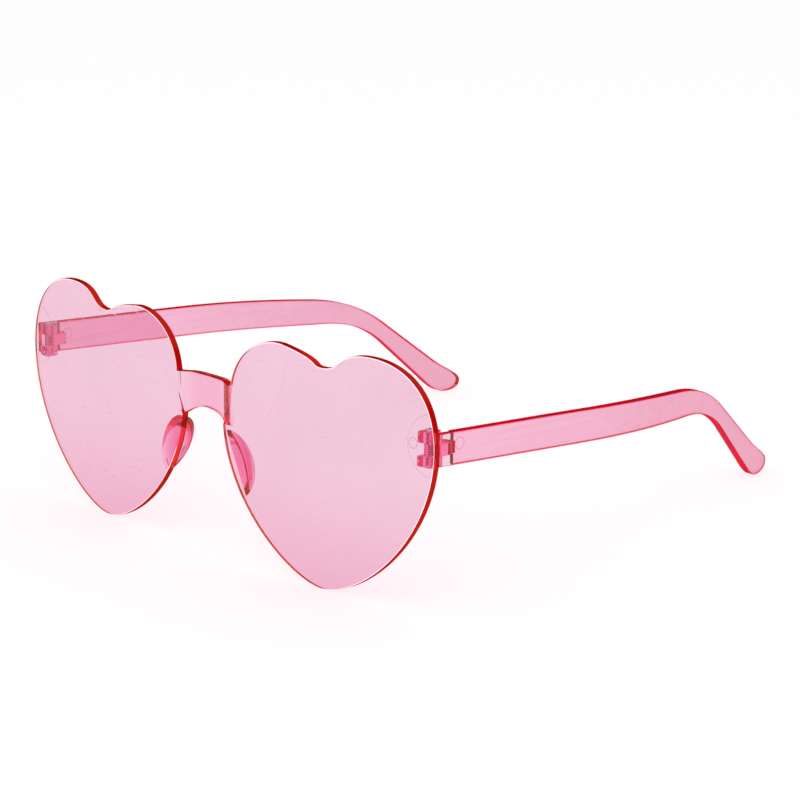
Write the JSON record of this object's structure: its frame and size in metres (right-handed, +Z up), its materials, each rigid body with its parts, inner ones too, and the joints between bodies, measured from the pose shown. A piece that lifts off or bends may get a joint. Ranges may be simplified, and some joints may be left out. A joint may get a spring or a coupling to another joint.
{
  "type": "heart-shaped sunglasses",
  "caption": "Rimless heart-shaped sunglasses in clear pink polycarbonate: a one-piece lens front with moulded bridge and nose pads, and folding ear pieces on screw hinges.",
  "frame": {"origin": "middle of the level that the open sunglasses stand on, under the centre of the bounding box", "axes": "+X towards the wearer's left, -Y out of the front of the lenses, +Y along the ear pieces to the ear tips, +Z up"},
  "size_m": [0.145, 0.1356, 0.0561],
  "materials": {
    "lens_tint": "polished clear pink polycarbonate",
    "temple_tint": "polished clear pink polycarbonate",
    "screw_steel": "turned stainless steel"
  },
  "bodies": {
    "front": {"lens_front": "lens_tint", "left_hinge_screw": "screw_steel", "right_hinge_screw": "screw_steel"},
    "left_temple": {"left_temple": "temple_tint"},
    "right_temple": {"right_temple": "temple_tint"}
  },
  "joints": [
    {"name": "left_hinge", "type": "hinge", "parent": "front", "child": "left_temple", "pos_m": [0.0686, -0.05863, 0.03763], "axis": [0, 0.0555, 0.9985], "range_deg": [0, 83]},
    {"name": "right_hinge", "type": "hinge", "parent": "front", "child": "right_temple", "pos_m": [-0.0686, -0.05863, 0.03763], "axis": [0, -0.0555, -0.9985], "range_deg": [0, 78]}
  ]
}
